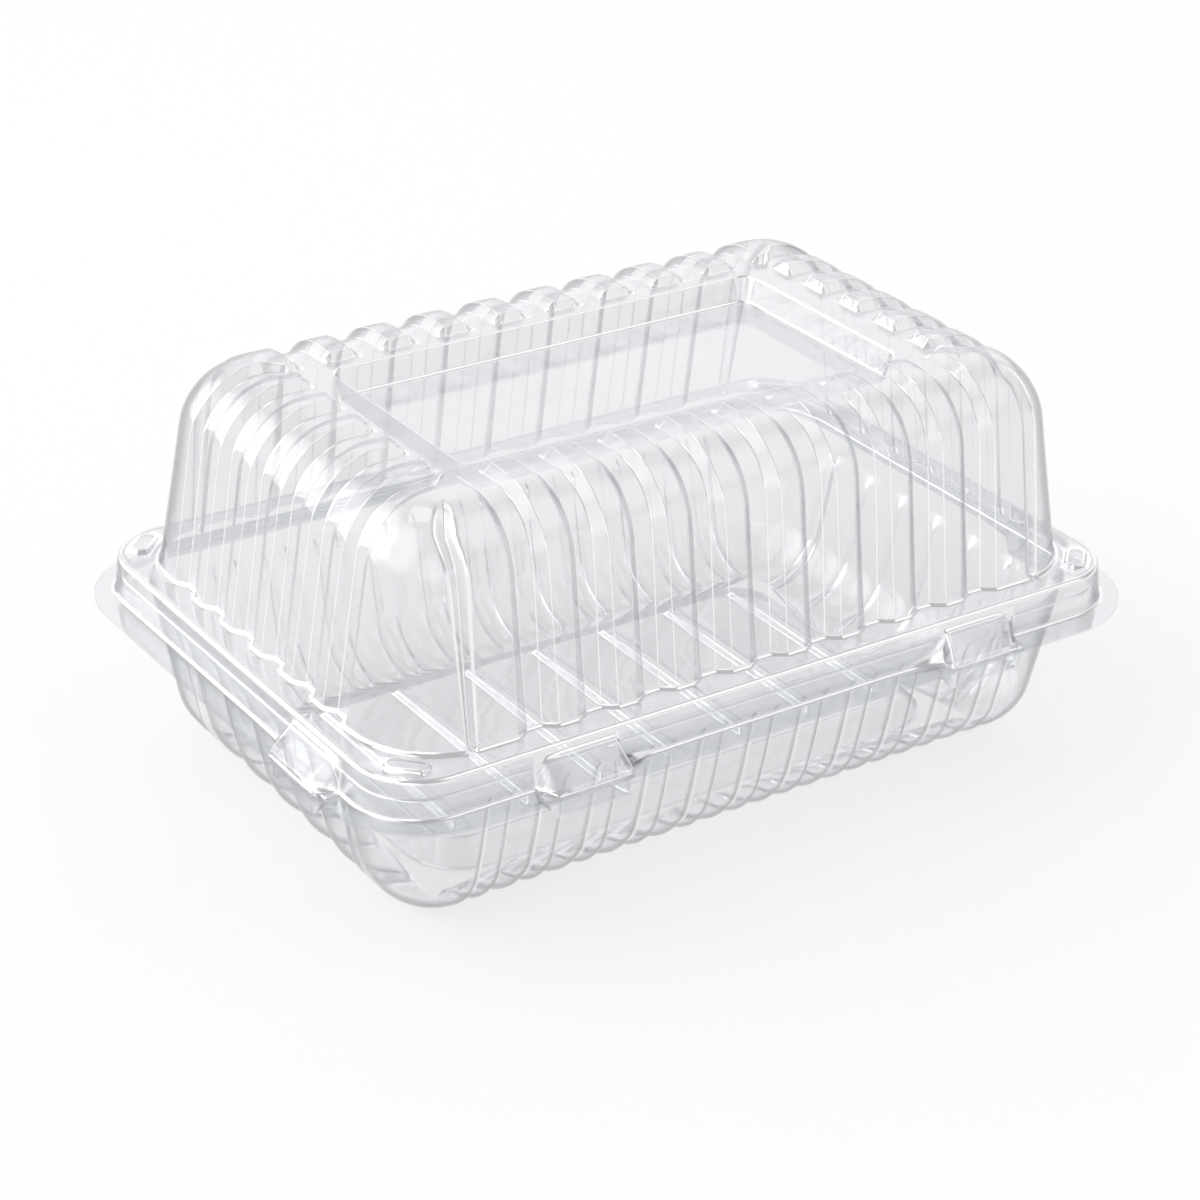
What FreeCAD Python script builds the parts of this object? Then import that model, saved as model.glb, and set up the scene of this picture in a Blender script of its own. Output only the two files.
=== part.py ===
import FreeCAD, Part
import math
import os
import Sketcher

# A clear hinged pack, pressed from one thin sheet: a fluted tray, and a domed lid with
# ribs and a sunken window, joined by a film fold along the rear edges of their lips.
# X runs along the long side, Y from the front to the fold, Z up. The origin is on the
# table under the middle of the tray. All sizes are in millimetres.
SIZES = [
    ("wall", 0.4, "thickness of the formed sheet"),
    ("tray_depth", 34.0, "height of the face where the two lips meet"),
    ("lip_half_x", 100.0, "half length of both lips"),
    ("lip_half_y", 70.0, "half depth of both lips, and the distance to the fold"),
    ("lip_corner", 24.0, "corner radius of the lips"),
    ("skirt_half_x", 94.5, "half length of the lid's skirt at the lip"),
    ("skirt_half_y", 64.3, "half depth of the lid's skirt at the lip"),
    ("skirt_corner", 15.0, "corner radius of the skirt"),
    ("skirt_height", 8.8, "height of the lid's ledge above the lips"),
    ("skirt_draft", 6.5, "lean of the skirt and the bead, in degrees"),
    ("bead_height", 4.6, "height of the tray's bead inside the skirt"),
    ("nest_gap", 0.4, "clearance between the bead and the skirt"),
    ("dome_half_x", 88.1, "half length of the dome over its ribs at the ledge"),
    ("dome_half_y", 57.8, "half depth of the dome over its ribs at the ledge"),
    ("dome_height", 47.2, "height of the rib tops above the ledge"),
    ("dome_lean", 6.6, "how far the dome's walls lean in over that height"),
    ("dome_round", 19.9, "radius of the shoulder over the ribs"),
    ("plan_corner", 1.2, "corner radius where the flat top ends"),
    ("rib_height", 1.9, "height of the ribs above the grooves"),
    ("rib_slope", 1.3, "sideways run of a rib's flank for each unit of height"),
    ("long_rib_pitch", 14.1, "spacing of the ribs on the long sides"),
    ("long_grooves", 9, "grooves on each long side"),
    ("long_groove_floor", 4.7, "flat width of those grooves"),
    ("short_rib_pitch", 12.75, "spacing of the ribs on the short sides"),
    ("short_grooves", 6, "grooves on each short side"),
    ("short_groove_floor", 3.2, "flat width of those grooves"),
    ("pleat_x", 71.8, "distance of the corner pleats from the middle"),
    ("pleat_floor", 0.5, "flat width of a pleat"),
    ("pleat_slope", 0.7, "sideways run of a pleat's flank for each unit of depth"),
    ("frame_half_x", 64.3, "half length of the flat frame around the window"),
    ("frame_half_y", 32.4, "half depth of the flat frame around the window"),
    ("frame_corner", 1.5, "corner radius of the frame"),
    ("window_half_x", 54.7, "half length of the sunken window"),
    ("window_half_y", 27.5, "half depth of the sunken window"),
    ("window_corner", 3.8, "corner radius of the window"),
    ("window_depth", 6.0, "depth of the window below its frame"),
    ("window_draft", 12.0, "lean of the window's sides, in degrees"),
    ("stud_half_x", 85.3, "distance of the ledge studs from the middle, along"),
    ("stud_half_y", 55.6, "distance of the ledge studs from the middle, across"),
    ("stud_length", 10.5, "length of a stud"),
    ("stud_width", 6.2, "width of a stud"),
    ("stud_height", 0.9, "height of a stud"),
    ("clip_x", 51.0, "distance of the front clips from the middle"),
    ("clip_y", -34.5, "place of the side clips along the depth"),
    ("clip_width", 19.0, "width of a clip"),
    ("clip_edge", 1.2, "strip of lip left outside a clip"),
    ("clip_foot", 0.9, "height of the upright foot of a clip's ramp"),
    ("clip_drop", 1.6, "distance of a clip's top below the ledge"),
    ("cup_depth", 5.0, "depth of the tray's cups below the clips"),
    ("bowl_half_x", 90.3, "half length of the bowl at the top of the bead"),
    ("bowl_half_y", 60.1, "half depth of the bowl at the top of the bead"),
    ("bowl_lean", 7.5, "how far the bowl's walls lean in down to the table"),
    ("bowl_round", 14.0, "radius of the bowl's foot"),
    ("flute_depth", 1.2, "depth of the creases between the bowl's flutes"),
    ("flute_crease", 0.3, "flat width of a crease"),
    ("flute_slope", 1.5, "sideways run of a crease's flank for each unit of depth"),
    ("flute_margin", 2.5, "height left plain between the creases and the lip"),
    ("long_flute_pitch", 13.0, "spacing of the narrow flutes on the long sides"),
    ("long_flutes", 11, "narrow flutes on each long side"),
    ("long_flute_width", 5.2, "width of a narrow flute"),
    ("short_flute_pitch", 12.8, "spacing of the flutes on the short sides"),
    ("short_flutes", 6, "creases on each short side"),
    ("floor_half_x", 67.0, "half length of the raised floor at the table"),
    ("floor_half_y", 36.8, "half depth of the raised floor at the table"),
    ("floor_corner", 8.0, "corner radius of the raised floor"),
    ("floor_rise", 5.0, "height of the floor's underside above the table"),
    ("bar_pitch", 18.6, "spacing of the bars on the floor"),
    ("bars", 7, "bars on the floor"),
    ("bar_width", 4.0, "width of a bar"),
    ("bar_length", 58.0, "length of a bar"),
    ("bar_height", 1.6, "height of a bar above the floor"),
]


class Measure:
    """A length that knows its value and how it is worked out from the sheet."""

    def __init__(self, text, value):
        self.text = text
        self.value = value

    def __add__(self, other):
        other = measure(other)
        return Measure("(%s + %s)" % (self.text, other.text), self.value + other.value)

    def __sub__(self, other):
        other = measure(other)
        return Measure("(%s - %s)" % (self.text, other.text), self.value - other.value)

    def __mul__(self, other):
        other = measure(other)
        return Measure("(%s * %s)" % (self.text, other.text), self.value * other.value)

    def __truediv__(self, other):
        other = measure(other)
        return Measure("(%s / %s)" % (self.text, other.text), self.value / other.value)

    def __neg__(self):
        return measure(0) - self


def measure(number):
    if isinstance(number, Measure):
        return number
    return Measure("(%r)" % float(number), float(number))


def root(m):
    return Measure("sqrt(%s)" % m.text, math.sqrt(m.value))


def tangent(degrees):
    return Measure("tan(%s * 1 deg)" % degrees.text, math.tan(math.radians(degrees.value)))


class Sizes:
    """The sheet's cells by name."""


doc = FreeCAD.newDocument("clamshell_pack")
sheet = doc.addObject("Spreadsheet::Sheet", "sizes")
size = Sizes()
for row, (name, number, note) in enumerate(SIZES, start=1):
    sheet.set("A%d" % row, name)
    sheet.set("B%d" % row, str(number))
    sheet.set("C%d" % row, note)
    sheet.setAlias("B%d" % row, name)
doc.recompute()
for name, number, note in SIZES:
    setattr(size, name, Measure("sizes." + name, float(sheet.get(name))))

LEVEL = FreeCAD.Rotation()
ORIGIN = -1
START = 1
END = 2
CENTRE = 3

parting = size.tray_depth
ledge = parting + size.skirt_height
rib_top = ledge + size.dome_height
bead_top = parting + size.bead_height
nothing = measure(0)
right_angle_root = root(measure(2))

# How far a solid runs on into its neighbour, so that the two join, and a hollow out of it.
overlap = size.wall * 2
dome_overlap = size.wall
groove_overlap = size.wall * 3
clip_crest_overlap = size.wall * 3
clip_back_overlap = size.wall * 6


def bind(thing, prop, m):
    thing.setExpression(prop, m.text)


def new_body(name):
    return doc.addObject("PartDesign::Body", name)


def origin_part(body, role):
    return next(part for part in body.Origin.OriginFeatures if part.Role == role)


def new_sketch(body, name, role, offset):
    sketch = body.newObject("Sketcher::SketchObject", name)
    sketch.AttachmentSupport = [(origin_part(body, role), "")]
    sketch.MapMode = "FlatFace"
    base = FreeCAD.Vector(0, 0, offset.value)
    sketch.AttachmentOffset = FreeCAD.Placement(base, LEVEL)
    bind(sketch, "AttachmentOffset.Base.z", offset)
    return sketch


def pin(sketch, name, kind, m, *ends):
    """A named dimension of a sketch, bound to the sheet."""
    index = sketch.addConstraint(Sketcher.Constraint(kind, *ends, m.value))
    sketch.renameConstraint(index, name)
    bind(sketch, "Constraints." + name, m)


def pin_point(sketch, name, curve, end, x, y):
    pin(sketch, name + "_x", "DistanceX", x, ORIGIN, START, curve, end)
    pin(sketch, name + "_y", "DistanceY", y, ORIGIN, START, curve, end)


def relate(sketch, kind, *ends):
    sketch.addConstraint(Sketcher.Constraint(kind, *ends))


def segment(x1, y1, x2, y2):
    return Part.LineSegment(FreeCAD.Vector(x1, y1, 0), FreeCAD.Vector(x2, y2, 0))


def rounded_rectangle(body, name, height, half_x, half_y, corner):
    """A closed rounded rectangle about the Z axis, at a height."""
    sketch = new_sketch(body, name, "XY_Plane", height)
    a = half_x.value
    b = half_y.value
    r = corner.value
    sides = [
        sketch.addGeometry(segment(r - a, -b, a - r, -b)),
        sketch.addGeometry(segment(a, r - b, a, b - r)),
        sketch.addGeometry(segment(a - r, b, r - a, b)),
        sketch.addGeometry(segment(-a, b - r, -a, r - b)),
    ]
    arcs = []
    for turn, (cx, cy) in enumerate(((a - r, r - b), (a - r, b - r), (r - a, b - r), (r - a, r - b))):
        circle = Part.Circle(FreeCAD.Vector(cx, cy, 0), FreeCAD.Vector(0, 0, 1), r)
        first = math.radians(90 * turn - 90)
        arcs.append(sketch.addGeometry(Part.ArcOfCircle(circle, first, first + math.pi / 2)))
    for turn in range(4):
        relate(sketch, "Tangent", sides[turn], END, arcs[turn], START)
        relate(sketch, "Tangent", arcs[turn], END, sides[(turn + 1) % 4], START)
        if turn:
            relate(sketch, "Equal", arcs[0], arcs[turn])
    relate(sketch, "Horizontal", sides[0])
    relate(sketch, "Vertical", sides[1])
    relate(sketch, "Symmetric", sides[0], START, sides[2], START, ORIGIN, START)
    relate(sketch, "Symmetric", sides[1], START, sides[3], START, ORIGIN, START)
    pin(sketch, "half_x", "DistanceX", half_x, ORIGIN, START, sides[1], START)
    pin(sketch, "half_y", "DistanceY", half_y, ORIGIN, START, sides[2], START)
    pin(sketch, "corner", "Radius", corner, arcs[0])
    return sketch


def polygon(body, name, role, offset, points):
    """A closed outline of straight sides whose corners are all pinned."""
    sketch = new_sketch(body, name, role, offset)
    sides = []
    for (x1, y1), (x2, y2) in zip(points, points[1:] + points[:1]):
        sides.append(sketch.addGeometry(segment(x1.value, y1.value, x2.value, y2.value)))
    for index, side in enumerate(sides):
        relate(sketch, "Coincident", side, END, sides[(index + 1) % len(sides)], START)
        pin_point(sketch, "corner%d" % index, side, START, *points[index])
    return sketch


class Wall:
    """A leaning wall that turns by an arc into a level top or bottom.

    half is its distance from the middle at height base, lean how far it comes in up
    or down to height level, and turn the arc's radius there. up is 1 for a wall that
    stands above its base and -1 for one that hangs below it.
    """

    def __init__(self, half, base, level, lean, turn, up):
        self.half = half
        self.base = base
        self.level = level
        self.lean = lean
        self.turn = turn
        self.up = up
        height = (level - base) * up
        slope = lean / height
        self.stretch = root(slope * slope + 1)
        self.centre_z = level - turn * up
        rise = (self.centre_z - base) * up
        self.centre = half - slope * rise - turn * self.stretch

    def guide(self, sketch, sign, depth):
        """A construction line along the wall, depth inside its face."""
        shift = depth * self.stretch
        foot = (self.half - shift) * sign
        head = (self.half - self.lean - shift) * sign
        line = sketch.addGeometry(segment(foot.value, self.base.value, head.value, self.level.value), True)
        pin_point(sketch, "guide_foot", line, START, foot, self.base)
        pin_point(sketch, "guide_head", line, END, head, self.level)
        return line

    def bend(self, sketch, sign, depth):
        """The arc between the level run and the wall, drawn counter-clockwise."""
        radius = self.turn.value - depth.value
        centre = FreeCAD.Vector(sign * self.centre.value, self.centre_z.value, 0)
        circle = Part.Circle(centre, FreeCAD.Vector(0, 0, 1), radius)
        tilt = math.atan(self.lean.value / abs(self.level.value - self.base.value))
        first = math.pi / 2
        last = math.pi - tilt
        if sign > 0:
            first, last = tilt, math.pi / 2
        if self.up < 0:
            first, last = -last, -first
        return sketch.addGeometry(Part.ArcOfCircle(circle, first, last))

    def join(self, sketch, sign, depth, level_line, level_end, wall_line, wall_end):
        """Ties the bend to its two lines and to the guide."""
        line = self.guide(sketch, sign, depth)
        arc = self.bend(sketch, sign, depth)
        at_wall, at_level = (START, END) if sign * self.up > 0 else (END, START)
        relate(sketch, "Coincident", arc, at_level, level_line, level_end)
        relate(sketch, "Tangent", arc, at_wall, wall_line, wall_end)
        relate(sketch, "PointOnObject", wall_line, START, line)
        relate(sketch, "PointOnObject", wall_line, END, line)
        relate(sketch, "Vertical", arc, CENTRE, arc, at_level)
        pin(sketch, "level", "DistanceY", self.level - depth * self.up, ORIGIN, START, arc, at_level)
        pin(sketch, "bend", "Radius", self.turn - depth, arc)

    def profile(self, body, name, role, start, depth):
        """The closed section between the wall's face and its bend's axis."""
        sketch = new_sketch(body, name, role, nothing)
        out = self.half.value
        axis = self.centre.value
        z1 = start.value
        z2 = self.centre_z.value
        floor = sketch.addGeometry(segment(axis, z1, out, z1))
        face = sketch.addGeometry(segment(out, z1, out - self.lean.value, z2))
        back = sketch.addGeometry(segment(axis, self.level.value, axis, z1))
        relate(sketch, "Horizontal", floor)
        relate(sketch, "Vertical", back)
        relate(sketch, "Coincident", floor, END, face, START)
        relate(sketch, "Coincident", back, END, floor, START)
        pin(sketch, "start", "DistanceY", start, ORIGIN, START, floor, START)
        self.join(sketch, 1, depth, back, START, face, END)
        return sketch

    def path(self, body, name, role, end, sign, depth):
        """The open line from the middle, round the bend and along the wall."""
        sketch = new_sketch(body, name, role, nothing)
        level = self.level.value - depth.value * self.up
        x1 = sign * self.centre.value
        x2 = sign * self.half.value
        run = sketch.addGeometry(segment(0, level, x1, level))
        face = sketch.addGeometry(segment(x2, self.centre_z.value, x2, end.value))
        relate(sketch, "Horizontal", run)
        relate(sketch, "PointOnObject", run, START, -2)
        self.join(sketch, sign, depth, run, END, face, START)
        pin(sketch, "end", "DistanceY", end, ORIGIN, START, face, END)
        return sketch


def pad(body, name, sketch, length, draft=None, midplane=False, down=False):
    feature = body.newObject("PartDesign::Pad", name)
    feature.Profile = (sketch, [""])
    bind(feature, "Length", length)
    feature.Midplane = midplane
    feature.Reversed = down
    if draft is not None:
        bind(feature, "TaperAngle", -draft)
    doc.recompute()
    return feature


def pocket(body, name, sketch, depth, draft, upwards=False):
    """Cuts a sketch to a depth, with sides that close in."""
    before = body.Shape.Volume
    feature = body.newObject("PartDesign::Pocket", name)
    feature.Profile = (sketch, [""])
    bind(feature, "Length", depth)
    bind(feature, "TaperAngle", -draft)
    feature.Reversed = upwards
    doc.recompute()
    if not feature.Shape.Volume < before:
        raise RuntimeError(name + " cuts nothing")
    return feature


def sweep(body, kind, name, section, path):
    feature = body.newObject(kind, name)
    feature.Profile = (section, [""])
    doc.recompute()
    edges = ["Edge%d" % (i + 1) for i in range(len(path.Shape.Edges))]
    feature.Spine = (path, edges)
    doc.recompute()
    return feature


def repeat(body, name, features, axis, span, count):
    pattern = body.newObject("PartDesign::LinearPattern", name)
    pattern.Originals = features
    pattern.Direction = (origin_part(body, axis), [""])
    bind(pattern, "Length", span)
    bind(pattern, "Occurrences", count)
    body.Tip = pattern
    doc.recompute()
    return pattern


def shell_body(name, wall_x, wall_y, inset, overrun):
    """The solid inside two pairs of walls, all with the same bend."""
    body = new_body(name)
    up = wall_x.up
    start = wall_x.base - overrun * up
    level = wall_x.level - inset * up
    bottom = start if up > 0 else level
    core = rounded_rectangle(body, name + "_core", bottom, wall_x.centre, wall_y.centre, size.plan_corner)
    pad(body, name + "_middle", core, (level - start) * up)
    section = wall_x.profile(body, name + "_wall", "XZ_Plane", start, inset)
    ring = rounded_rectangle(body, name + "_ring", start, wall_x.centre, wall_y.centre, size.plan_corner)
    sweep(body, "PartDesign::AdditivePipe", name + "_walls", section, ring)
    return body


def channel_row(body, name, wall, along, sign, first, floor, slope, depth, inset, end, span, count):
    """A row of channels that run over a wall's bend and along the wall."""
    plane, across, axis = ("YZ_Plane", "XZ_Plane", "X_Axis")
    if along == "Y":
        plane, across, axis = ("XZ_Plane", "YZ_Plane", "Y_Axis")
    sunk = depth + inset
    path = wall.path(body, name + "_path", plane, end, sign, sunk)
    reach = depth * 2
    half = floor / 2 + inset * (root(slope * slope + 1) - slope)
    mouth = half + slope * (reach + inset)
    low = wall.level - sunk * wall.up
    high = wall.level + (reach - depth) * wall.up
    features = []
    for index, place in enumerate(first):
        corners = [(place - half, low), (place + half, low), (place + mouth, high), (place - mouth, high)]
        section = polygon(body, "%s_section%d" % (name, index), across, nothing, corners)
        before = body.Shape.Volume
        cut = sweep(body, "PartDesign::SubtractivePipe", "%s_cut%d" % (name, index), section, path)
        if not cut.Shape.Volume < before:
            raise RuntimeError(name + " cuts nothing")
        features.append(cut)
    if span is not None:
        repeat(body, name + "_row", features, axis, span, count)


dome_x = Wall(size.dome_half_x, ledge, rib_top, size.dome_lean, size.dome_round, 1)
dome_y = Wall(size.dome_half_y, ledge, rib_top, size.dome_lean, size.dome_round, 1)
bowl_x = Wall(size.bowl_half_x, bead_top, nothing, size.bowl_lean, size.bowl_round, -1)
bowl_y = Wall(size.bowl_half_y, bead_top, nothing, size.bowl_lean, size.bowl_round, -1)


def dome_solid(name, inset, overrun):
    """The dome with its grooves, pleats, frame and window, inset from its outside."""
    body = shell_body(name, dome_x, dome_y, inset, overrun)
    end = ledge - groove_overlap
    long_span = size.long_rib_pitch * (size.long_grooves - 1)
    short_span = size.short_rib_pitch * (size.short_grooves - 1)
    for sign, side in ((-1, "front"), (1, "back")):
        channel_row(
            body, "%s_%s" % (name, side), dome_y, "X", sign, [long_span / -2],
            size.long_groove_floor, size.rib_slope, size.rib_height, inset, end,
            long_span, size.long_grooves)
        channel_row(
            body, "%s_%s_pleat" % (name, side), dome_y, "X", sign, [-size.pleat_x, size.pleat_x],
            size.pleat_floor, size.pleat_slope, size.rib_height, inset, end, None, None)
    for sign, side in ((-1, "left"), (1, "right")):
        channel_row(
            body, "%s_%s" % (name, side), dome_x, "Y", sign, [short_span / -2],
            size.short_groove_floor, size.rib_slope, size.rib_height, inset, end,
            short_span, size.short_grooves)
    frame_grow = inset * (right_angle_root - 1)
    frame = rounded_rectangle(
        body, name + "_frame", rib_top - inset,
        size.frame_half_x + frame_grow, size.frame_half_y + frame_grow, size.frame_corner)
    pocket(body, name + "_framed", frame, size.rib_height, measure(45))
    slope = tangent(size.window_draft)
    window_grow = inset * (root(slope * slope + 1) - slope)
    window = rounded_rectangle(
        body, name + "_window", rib_top - size.rib_height - inset,
        size.window_half_x + window_grow, size.window_half_y + window_grow,
        size.window_corner + inset)
    pocket(body, name + "_sunken", window, size.window_depth, size.window_draft)
    return body


def stud_corners(sign_x, sign_y, inset):
    """The long hexagon of a stud, turned to lie along the corner's tangent."""
    half = size.stud_length / 2 - inset
    side = size.stud_width / 2 - inset
    shoulder = half - side / 2
    points = []
    for u, v in ((half, nothing), (shoulder, side), (-shoulder, side), (-half, nothing),
                 (-shoulder, -side), (shoulder, -side)):
        x = size.stud_half_x + (u + v) / right_angle_root
        y = size.stud_half_y + (v - u) / right_angle_root
        points.append((x * sign_x, y * sign_y))
    return points


def clip_corners(half, skirt, sign, inset):
    out = (half - size.clip_edge - inset) * sign
    back = (skirt - clip_back_overlap) * sign
    crest = (skirt - clip_crest_overlap - inset) * sign
    low = parting
    foot = parting + size.wall + size.clip_foot - inset
    high = ledge - size.clip_drop - inset
    return [(back, low), (out, low), (out, foot), (crest, high), (back, high)]


STUDS = [
    ("front_left", -1, -1),
    ("back_left", -1, 1),
    ("front_right", 1, -1),
    ("back_right", 1, 1),
]

# Each clip: its name, the plane of its section and its place across it, the half sizes of
# the lip and the skirt that it spans, and its side.
CLIPS = [
    ("front_left", "YZ_Plane", -size.clip_x, size.lip_half_y, size.skirt_half_y, -1),
    ("front_right", "YZ_Plane", size.clip_x, size.lip_half_y, size.skirt_half_y, -1),
    ("left", "XZ_Plane", -size.clip_y, size.lip_half_x, size.skirt_half_x, -1),
    ("right", "XZ_Plane", -size.clip_y, size.lip_half_x, size.skirt_half_x, 1),
]


def lid_flange(name, inset):
    """The lid's lip, skirt, ledge, clips and studs, or the hollow under them."""
    body = new_body(name)
    if inset is nothing:
        lip = rounded_rectangle(
            body, name + "_lip", parting, size.lip_half_x, size.lip_half_y, size.lip_corner)
        pad(body, name + "_lip_plate", lip, size.wall)
    skirt = rounded_rectangle(
        body, name + "_skirt", parting, size.skirt_half_x - inset, size.skirt_half_y - inset,
        size.skirt_corner - inset)
    pad(body, name + "_skirt_block", skirt, size.skirt_height - inset, size.skirt_draft)
    for side, plane, place, half, skirt_half, sign in CLIPS:
        outline = polygon(body, "%s_%s_clip" % (name, side), plane, place,
                          clip_corners(half, skirt_half, sign, inset))
        pad(body, "%s_%s_ramp" % (name, side), outline, size.clip_width - inset * 2, midplane=True)
    for corner, sign_x, sign_y in STUDS:
        hexagon = polygon(body, "%s_%s_stud" % (name, corner), "XY_Plane", ledge - overlap,
                          stud_corners(sign_x, sign_y, inset))
        pad(body, "%s_%s_button" % (name, corner), hexagon, size.stud_height + overlap - inset)
    return body


def tray_rim(name, inset):
    """The tray's lip, bead and cups, or the hollow in them."""
    body = new_body(name)
    low = parting - size.wall
    if inset is nothing:
        lip = rounded_rectangle(body, name + "_lip", low, size.lip_half_x, size.lip_half_y, size.lip_corner)
        pad(body, name + "_lip_plate", lip, size.wall)
    shrink = inset + size.wall + size.nest_gap
    bead = rounded_rectangle(
        body, name + "_bead", parting, size.skirt_half_x - shrink, size.skirt_half_y - shrink,
        size.skirt_corner - shrink)
    pad(body, name + "_bead_block", bead, size.bead_height - inset, size.skirt_draft)
    if inset is not nothing:
        throat = rounded_rectangle(
            body, name + "_throat", parting - overlap, size.skirt_half_x - shrink,
            size.skirt_half_y - shrink, size.skirt_corner - shrink)
        pad(body, name + "_throat_block", throat, overlap)
    for side, plane, place, half, skirt_half, sign in CLIPS:
        out = (half - size.clip_edge - inset) * sign
        back = (skirt_half - size.wall - size.nest_gap - size.wall + inset) * sign
        bottom = parting - size.cup_depth + inset
        top = parting + inset
        outline = polygon(body, "%s_%s_cup" % (name, side), plane, place,
                          [(back, bottom), (out, bottom), (out, top), (back, top)])
        pad(body, "%s_%s_cup_block" % (name, side), outline, size.clip_width - inset * 2, midplane=True)
    return body


def bowl_solid(name, inset, overrun):
    """The bowl with its flutes, raised floor and bars, inset from its outside."""
    body = shell_body(name, bowl_x, bowl_y, inset, overrun)
    end = parting - size.flute_margin
    long_span = size.long_flute_pitch * (size.long_flutes - 1)
    short_span = size.short_flute_pitch * (size.short_flutes - 1)
    half_flute = size.long_flute_width / 2
    for sign, side in ((-1, "front"), (1, "back")):
        channel_row(
            body, "%s_%s" % (name, side), bowl_y, "X", sign,
            [long_span / -2 - half_flute, long_span / -2 + half_flute], size.flute_crease,
            size.flute_slope, size.flute_depth, inset, end, long_span, size.long_flutes)
    for sign, side in ((-1, "left"), (1, "right")):
        channel_row(
            body, "%s_%s" % (name, side), bowl_x, "Y", sign, [short_span / -2], size.flute_crease,
            size.flute_slope, size.flute_depth, inset, end, short_span, size.short_flutes)
    grow = inset * right_angle_root
    floor = rounded_rectangle(
        body, name + "_floor", nothing, size.floor_half_x + grow, size.floor_half_y + grow,
        size.floor_corner)
    pocket(body, name + "_raised", floor, size.floor_rise + inset, measure(45), upwards=True)
    span = size.bar_pitch * (size.bars - 1)
    x1 = span / -2 - size.bar_width / 2 - inset
    x2 = span / -2 + size.bar_width / 2 + inset
    y = size.bar_length / 2 + inset
    outline = polygon(body, name + "_bar", "XY_Plane", nothing, [(x1, -y), (x2, -y), (x2, y), (x1, y)])
    bar = pocket(body, name + "_bar_cut", outline, size.floor_rise + size.bar_height + inset, nothing,
                 upwards=True)
    repeat(body, name + "_bar_row", [bar], "X_Axis", span, size.bars)
    return body


def combine(kind, name, base, tool):
    result = doc.addObject(kind, name)
    result.Base = base
    result.Tool = tool
    result.Label = name
    doc.recompute()
    return result


lid_edge = combine("Part::Cut", "lid_edge", lid_flange("lid_flange", nothing),
                   lid_flange("lid_hollow", size.wall))
lid_full = combine("Part::Fuse", "lid_full", lid_edge, dome_solid("dome", nothing, dome_overlap))
lid = combine("Part::Cut", "lid", lid_full, dome_solid("dome_hollow", size.wall, overlap))

tray_edge = combine("Part::Cut", "tray_edge", tray_rim("tray_rim", nothing),
                    tray_rim("tray_hollow", size.wall))
tray_full = combine("Part::Fuse", "tray_full", tray_edge, bowl_solid("bowl", nothing, nothing))
tray = combine("Part::Cut", "tray", tray_full, bowl_solid("bowl_hollow", size.wall, overlap))

for thing in doc.Objects:
    if "Invalid" in thing.State or "Error" in thing.State:
        raise RuntimeError("%s failed: %s" % (thing.Name, thing.State))

os.makedirs("parts", exist_ok=True)
for piece in (tray, lid):
    piece.Placement = FreeCAD.Placement(FreeCAD.Vector(0, 0, 0), LEVEL)
    shape = piece.Shape
    if shape.isNull() or not shape.isValid():
        raise RuntimeError(piece.Label + " has no valid shape")
    box = shape.BoundBox
    corners = (box.XMin, box.YMin, box.ZMin, box.XMax, box.YMax, box.ZMax)
    print(piece.Label, "solids", len(shape.Solids), "volume", round(shape.Volume),
          "faces", len(shape.Faces), "box", [round(v, 2) for v in corners])
    shape.exportStep("parts/%s.step" % piece.Label)
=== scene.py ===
import math

import bmesh
import bpy
from mathutils import Matrix, Vector


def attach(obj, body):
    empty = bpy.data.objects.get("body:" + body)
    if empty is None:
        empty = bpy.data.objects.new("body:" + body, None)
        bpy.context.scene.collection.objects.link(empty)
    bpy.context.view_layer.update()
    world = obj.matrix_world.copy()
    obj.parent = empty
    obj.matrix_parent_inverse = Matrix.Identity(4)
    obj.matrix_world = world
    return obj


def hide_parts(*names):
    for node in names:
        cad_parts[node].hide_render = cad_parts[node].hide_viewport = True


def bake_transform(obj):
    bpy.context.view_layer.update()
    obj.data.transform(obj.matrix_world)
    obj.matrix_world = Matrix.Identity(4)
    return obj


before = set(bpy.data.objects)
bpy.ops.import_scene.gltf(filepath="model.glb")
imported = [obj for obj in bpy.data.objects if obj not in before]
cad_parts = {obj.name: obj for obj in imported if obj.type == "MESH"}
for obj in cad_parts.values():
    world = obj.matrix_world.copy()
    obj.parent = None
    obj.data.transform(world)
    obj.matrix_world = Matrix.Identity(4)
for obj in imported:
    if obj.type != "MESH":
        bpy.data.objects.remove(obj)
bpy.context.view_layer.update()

# All lengths below are millimetres; heights are measured from the face where the lips meet.
MM = 0.001
PARTING = 34.0
SHEET = 0.3
FOLD_SHEET = 0.2
LIP_GAP = 0.04
MERGE = 0.004

# How strongly a painted highlight is laid on the bends of each piece, by raising their mirror share.
LID_PAINTED_BEND_HIGHLIGHT = 1.0
TRAY_PAINTED_BEND_HIGHLIGHT = 0.7
FOLD_PAINTED_BEND_HIGHLIGHT = 0.5

# The dome: the half sizes of its foot, its ribs and their ends, its lean and its rounded shoulder.
DOME = (88.1, 57.8)
LEDGE = 8.8
RIB_TOP = 56.0
RIB_HEIGHT = 1.9
RIB_END = (61.6, 30.7, 0.4)
RIB_END_RUN = 1.3
DOME_LEAN = 6.6
DOME_ROUND = 16.5
LONG_PITCH = 14.1
SHORT_PITCH = 12.75
EASE = 0.14

# Outlines of the dome and the bowl: the corner of their cores, and how the dome's corner grows.
PLAN_CORNER = 1.2
FOOT_CORNER = 26.0
CORNER_START = 10.0

# The pleat in each corner of the dome, and the last grooves and ribs before the corner.
PLEAT_X = 71.8
PLEAT_REACH = 1.45
LAST_GROOVE_X = 61.15
LAST_GROOVE_Y = 36.6
LAST_RIB_X = 49.0
LAST_RIB_Y = 26.0

# Half the floor of a groove and the run of its flank: at the top, and the change by the foot.
FRONT_GROOVE = ((2.4, -0.6), (2.1, 0.9))
SIDE_GROOVE = ((2.1, -0.4), (1.9, 0.9))

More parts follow.
